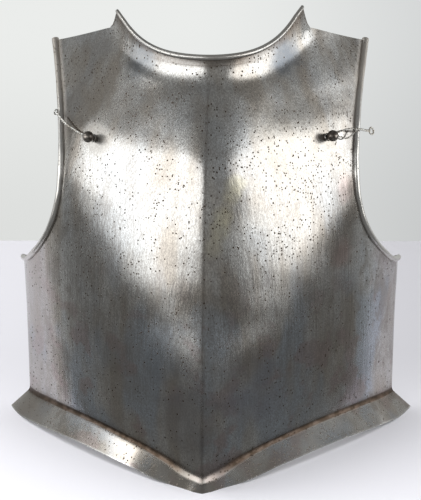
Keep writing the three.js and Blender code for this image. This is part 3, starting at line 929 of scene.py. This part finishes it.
def neckLip():
    half = plate["neckHalf"]
    along = np.linspace(-half, half, lip["stations"] + 1)
    rise, radius, lean = lipSizes(along)
    circles = circleProfile(radius, rolls["sides"], lean, rise - radius)
    roll = sweepRings(ringAround(*lipFrame(along), circles))
    # the band under the roll runs a little past each horn as a web
    past, lows = (np.array(column) for column in zip(*lip["web"]))
    bandX = np.concatenate([-half - past[::-1], along, half + past])
    scale = np.concatenate([lows[::-1], np.ones_like(along), lows])
    rise, radius, lean = lipSizes(bandX)
    lean = lean * scale
    crest = (rise - radius) * scale
    corners = (
        (-lip["buried"], -lip["footDepth"]),
        (lip["proud"], -lip["footDepth"]),
        (lip["footProud"], 0),
        (lean + lip["crestProud"], crest),
        (lean - plate["sheet"], crest),
        (-lip["buried"], 0),
    )
    profile = np.stack([np.stack(np.broadcast_arrays(*corner, bandX)[:2], -1) for corner in corners], 1)
    band = sweepRings(ringAround(*lipFrame(bandX), profile))
    # painted shadow as a dark line under the roll, and dirt as a second dark line at the foot of the band in
    # the middle
    atFoot = lip["footDirt"] * (1 - smoothstep(np.abs(bandX), *dirt["neckEnds"]))
    atCrest = lip["crestPaintedShadow"]
    groove = np.stack(np.broadcast_arrays(0, atFoot, atFoot, atCrest, atCrest, 0), -1)
    return (*band, {"groove": groove.ravel()}), (*roll, rolls["neckMarks"])


def joinShells(shells):
    points, faces, start = [], [], 0
    marks = {name: [] for name in markNames}
    for shellPoints, shellFaces, shellMarks in shells:
        points.append(shellPoints)
        faces += [tuple(v + start for v in face) for face in shellFaces]
        for name, values in marks.items():
            values.append(np.broadcast_to(shellMarks.get(name, 0.0), len(shellPoints)))
        start += len(shellPoints)
    return np.concatenate(points), faces, {name: np.concatenate(values) for name, values in marks.items()}


def makeBreastplate():
    shells = [plateShell(), armholeRoll(-1), armholeRoll(1), *neckLip()]
    points, faces, marks = joinShells(shells)
    # the tip of the flange stands where the solid's does
    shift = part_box("breastplate")[0][1] / mm - points[:, 1].min()
    points = (points + (0, shift, 0)) * mm
    piece = meshObject("forged_breastplate", points, faces, steelFinish)
    piece.data.set_sharp_from_angle(angle=math.radians(plate["sharpAngle"]))
    for name, values in marks.items():
        addMark(piece, name, values)
    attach(piece, "root")
    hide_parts("breastplate")
    print("breastplate made,", len(faces), "faces")
    return shift


plateShift = makeBreastplate()

studs = {
    "ballRadius": 4.8, "ballDepth": 0.97, "ballSteps": 24, "standoff": 7.8, "neckRadius": 2.0,
    "neckShape": ((1, 0.2), (1.12, 0.9), (0.98, 2.2), (1, 3.6)),  # share of its radius, height off the plate
    "rivetRadius": 4.0, "rivetHeight": 1.6, "rivetAir": 0.45, "rivetSteps": 8, "segments": 48,
}


def studSeat(spot):
    place = facePoint(spot["x"], spot["height"]) + (0, plateShift, 0)
    normal = Vector(faceNormal(spot["x"], spot["height"]))
    return Vector(place), normal, Vector((0, 0, 1)).rotation_difference(normal)


def studOutline():
    # radius and height off the plate, from the rivet head inside to the top of the ball
    back = -plate["sheet"] - studs["rivetAir"]
    rivet, neck, ball = studs["rivetRadius"], studs["neckRadius"], studs["ballRadius"]
    outline = [(0.0, back - studs["rivetHeight"])]
    for k in range(1, studs["rivetSteps"]):
        angle = math.pi / 2 * k / studs["rivetSteps"]
        outline.append((rivet * math.sin(angle), back - studs["rivetHeight"] * math.cos(angle)))
    outline += [(rivet, back), (neck, back)]
    outline += [(neck * wide, off) for wide, off in studs["neckShape"]]
    start = math.asin(neck / ball)
    for k in range(studs["ballSteps"] + 1):
        angle = (math.pi - start) * (1 - k / studs["ballSteps"])
        along = studs["standoff"] + ball * studs["ballDepth"] * math.cos(angle)
        outline.append((ball * math.sin(angle), along))
    return outline


def makeStud(side):
    place, _, turn = studSeat(studSpots[side])
    outline = studOutline()
    count = studs["segments"]
    points = [Vector((0, 0, outline[0][1]))]
    for radius, along in outline[1:-1]:
        for k in range(count):
            angle = 2 * math.pi * k / count
            points.append(Vector((radius * math.cos(angle), radius * math.sin(angle), along)))
    points.append(Vector((0, 0, outline[-1][1])))
    faces = [(0, 1 + (k + 1) % count, 1 + k) for k in range(count)]
    rings = len(outline) - 2
    for r in range(rings - 1):
        for k in range(count):
            a, b = 1 + r * count + k, 1 + r * count + (k + 1) % count
            faces.append((a, b, b + count, a + count))
    last = 1 + (rings - 1) * count
    faces += [(last + k, last + (k + 1) % count, len(points) - 1) for k in range(count)]
    turned = np.array([(place + turn @ point) * mm for point in points])
    piece = meshObject(f"{side}_stud", turned, faces, studFinish)
    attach(piece, "root")
    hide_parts(f"{side}_strap_stud")


for side in ("left", "right"):
    makeStud(side)
print("studs made")

wire = {
    "radius": 0.6, "twist": 5.2, "pairTwist": 0.95, "eyeTwist": 0.5,  # the last two in wire radii
    "coilTurns": 1.5, "coilSteps": 12, "coilFoot": 1.05, "coilPitch": 1.24, "coilRadius": 2.96,
    "curlRadius": 2.1, "eyeRadius": 2.9, "loopSteps": 14,
    "strandSides": 12, "strandStep": 0.28, "curveSteps": 16,
    # x, height, standoff
    "leftRun": ((-103, 275, 3.2), (-111.8, 276.8, 4), (-117, 278.3, 5), (-122, 281, 5.7), (-127, 283.8, 5.2)),
    "rightUpper": ((109.7, 276, 3.4), (116, 276, 4.4), (122, 274.2, 5.6)),
    "rightLower": ((109.7, 272, 3), (115.6, 269.4, 3.2), (122, 273, 5.6)),
    "rightRun": ((120.5, 274, 5.4), (124, 273.2, 5.8), (129.1, 270.8, 6), (134, 268.8, 5.4)),
    # standoff of the coil where each run leaves it
    "leaves": {"leftRun": 2.4, "rightUpper": 2.8, "rightLower": 1.8},
}


def strandTree():
    # two strands wound round a path; with no twist radius they lie as one plain wire
    tree = bpy.data.node_groups.new("twistedStrands", "GeometryNodeTree")
    face = tree.interface
    face.new_socket("Path", in_out="INPUT", socket_type="NodeSocketGeometry")
    sizes = {"Strand Radius": wire["radius"], "Twist Radius": wire["radius"], "Twist Length": wire["twist"]}
    for name, size in sizes.items():
        face.new_socket(name, in_out="INPUT", socket_type="NodeSocketFloat").default_value = size * mm
    face.new_socket("Finish", in_out="INPUT", socket_type="NodeSocketMaterial")
    face.new_socket("Wire", in_out="OUTPUT", socket_type="NodeSocketGeometry")

    def geometryNode(kind, inputs=None, **settings):
        return addNode(tree, "GeometryNode" + kind, inputs, **settings).outputs[0]

    given = addNode(tree, "NodeGroupInput").outputs
    sampling = {"Curve": given["Path"], "Length": wire["strandStep"] * mm}
    path = geometryNode("ResampleCurve", sampling, mode="LENGTH")
    length = addNode(tree, "GeometryNodeSplineParameter").outputs["Length"]
    angle = multiply(tree, nodeMath(tree, "DIVIDE", length, given["Twist Length"]), 2 * math.pi)
    normal = geometryNode("InputNormal")
    beside = vectorMath(tree, "CROSS_PRODUCT", normal, geometryNode("InputTangent"))[0]
    section = {"Resolution": wire["strandSides"], "Radius": given["Strand Radius"]}
    circle = geometryNode("CurvePrimitiveCircle", section)
    join = addNode(tree, "GeometryNodeJoinGeometry")
    for phase in (0, math.pi):
        turned = add(tree, angle, phase)
        parts = []
        for operation, axis in (("COSINE", normal), ("SINE", beside)):
            amount = multiply(tree, nodeMath(tree, operation, turned), given["Twist Radius"])
            scaled = addNode(tree, "ShaderNodeVectorMath", {0: axis, "Scale": amount}, operation="SCALE")
            parts.append(scaled.outputs[0])
        moved = geometryNode("SetPosition", {"Geometry": path, "Offset": vectorMath(tree, "ADD", *parts)[0]})
        strand = geometryNode("CurveToMesh", {"Curve": moved, "Profile Curve": circle, "Fill Caps": True})
        tree.links.new(strand, join.inputs[0])
    real = geometryNode("RealizeInstances", {"Geometry": join.outputs[0]})
    finished = geometryNode("SetMaterial", {"Geometry": real, "Material": given["Finish"]})
    addNode(tree, "NodeGroupOutput", {"Wire": finished})
    return tree


twistedStrands = strandTree()


def strandMesh(name, points, twistRadius, closed=False):
    # points in millimetres; the result is a plain mesh in metres
    curve = bpy.data.curves.new(name, "CURVE")
    curve.dimensions = "3D"
    spline = curve.splines.new("BEZIER")
    spline.bezier_points.add(len(points) - 1)
    for knot, point in zip(spline.bezier_points, points):
        knot.co = Vector(point) * mm
        knot.handle_left_type = knot.handle_right_type = "AUTO"
    spline.use_cyclic_u = closed
    spline.resolution_u = wire["curveSteps"]
    holder = bpy.data.objects.new(name, curve)
    bpy.context.collection.objects.link(holder)
    modifier = holder.modifiers.new("strands", "NODES")
    modifier.node_group = twistedStrands
    values = {
        "Strand Radius": wire["radius"] * mm,
        "Twist Radius": twistRadius * mm,
        "Twist Length": wire["twist"] * mm,
        "Finish": wireFinish,
    }
    for item in twistedStrands.interface.items_tree:
        if item.item_type == "SOCKET" and item.in_out == "INPUT" and item.name in values:
            modifier[item.identifier] = values[item.name]
    evaluated = holder.evaluated_get(bpy.context.evaluated_depsgraph_get())
    mesh = bpy.data.meshes.new_from_object(evaluated)
    holder.modifiers.remove(modifier)
    bpy.data.objects.remove(holder)
    bpy.data.curves.remove(curve)
    return mesh


def standing(row):
    x, height, standoff = row
    return Vector(facePoint(x, height) + faceNormal(x, height) * standoff + (0, plateShift, 0))


def coil(side):
    place, _, turn = studSeat(studSpots[side])
    steps = wire["coilSteps"]
    points = []
    for k in range(int(steps * wire["coilTurns"]) + 1):
        angle = 2 * math.pi * k / steps
        along = wire["coilFoot"] + wire["coilPitch"] * k / steps
        ring = Vector((wire["coilRadius"] * math.cos(angle), wire["coilRadius"] * math.sin(angle), along))
        points.append(place + turn @ ring)
    return strandMesh("coil", points, 0.0)


def runFromCoil(side, name):
    place, normal, _ = studSeat(studSpots[side])
    aside = standing(wire[name][0]) - place
    aside -= normal * aside.dot(normal)
    start = place + normal * wire["leaves"][name] + aside.normalized() * wire["coilRadius"]
    return [start] + [standing(row) for row in wire[name]]


def loop(run, radius, twistRadius):
    before, end = standing(run[-2]), standing(run[-1])
    out = Vector(faceNormal(*run[-1][:2]))
    away = end - before
    away = (away - out * away.dot(out)).normalized()
    beside = out.cross(away)
    centre = end + away * radius
    points = []
    for k in range(wire["loopSteps"]):
        angle = 2 * math.pi * k / wire["loopSteps"]
        points.append(centre - away * radius * math.cos(angle) + beside * radius * math.sin(angle))
    return strandMesh("loop", points, twistRadius, closed=True)


def makeTie(name, node, meshes):
    points, faces, start = [], [], 0
    for mesh in meshes:
        coords = np.empty(len(mesh.vertices) * 3)
        mesh.vertices.foreach_get("co", coords)
        points.append(coords.reshape(-1, 3))
        faces += [tuple(v + start for v in face.vertices) for face in mesh.polygons]
        start += len(mesh.vertices)
        bpy.data.meshes.remove(mesh)
    piece = meshObject(name, np.concatenate(points), faces, wireFinish)
    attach(piece, "root")
    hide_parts(node)


pairTwist, eyeTwist = wire["radius"] * wire["pairTwist"], wire["radius"] * wire["eyeTwist"]
makeTie("left_twisted_wire", "left_wire_tie", [
    coil("left"),
    strandMesh("run", runFromCoil("left", "leftRun"), pairTwist),
    loop(wire["leftRun"], wire["curlRadius"], 0.0),
])
makeTie("right_twisted_wire", "right_wire_tie", [
    coil("right"),
    strandMesh("upper", runFromCoil("right", "rightUpper"), 0.0),
    strandMesh("lower", runFromCoil("right", "rightLower"), 0.0),
    strandMesh("run", [standing(row) for row in wire["rightRun"]], pairTwist),
    loop(wire["rightRun"], wire["eyeRadius"], eyeTwist),
])
print("wire ties made")
